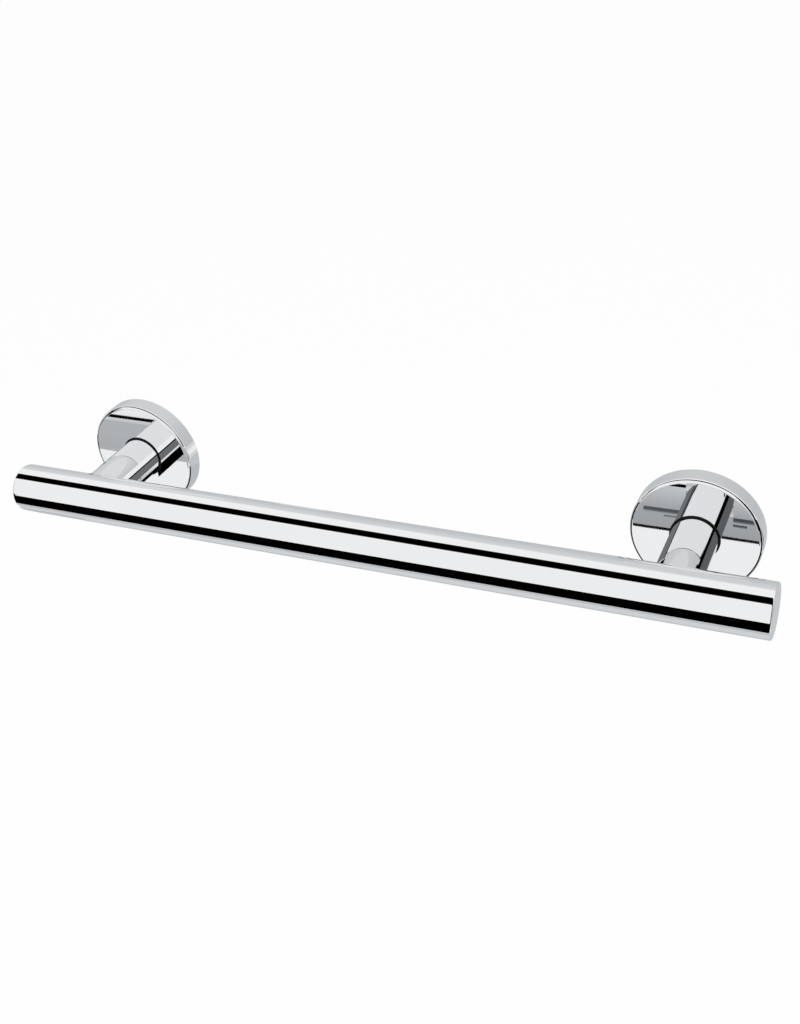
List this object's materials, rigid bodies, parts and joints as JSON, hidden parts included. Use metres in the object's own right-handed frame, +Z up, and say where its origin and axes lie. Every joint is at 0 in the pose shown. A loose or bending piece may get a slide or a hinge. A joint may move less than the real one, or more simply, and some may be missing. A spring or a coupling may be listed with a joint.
{
  "type": "grab bar",
  "caption": "Straight round grab bar with flat ends, carried off the wall by round posts with disc covers that hide screwed wall plates.",
  "frame": {"origin": "on the wall plane, midway between the two wall plates, at the height of the bar", "axes": "+X along the bar to the right as seen from the room, +Y into the wall, +Z up"},
  "size_m": [0.5, 0.086, 0.078],
  "materials": {
    "polished": "mirror polish",
    "plate": "plain rolled",
    "seal": "matt"
  },
  "bodies": {
    "root": {"bar_tube": "polished", "end_cap_left": "polished", "end_cap_right": "polished", "post_left": "polished", "post_right": "polished", "cover_left": "polished", "cover_right": "polished", "wall_plate_left": "plate", "wall_plate_right": "plate", "seal_ring_left": "seal", "seal_ring_right": "seal"}
  },
  "joints": []
}
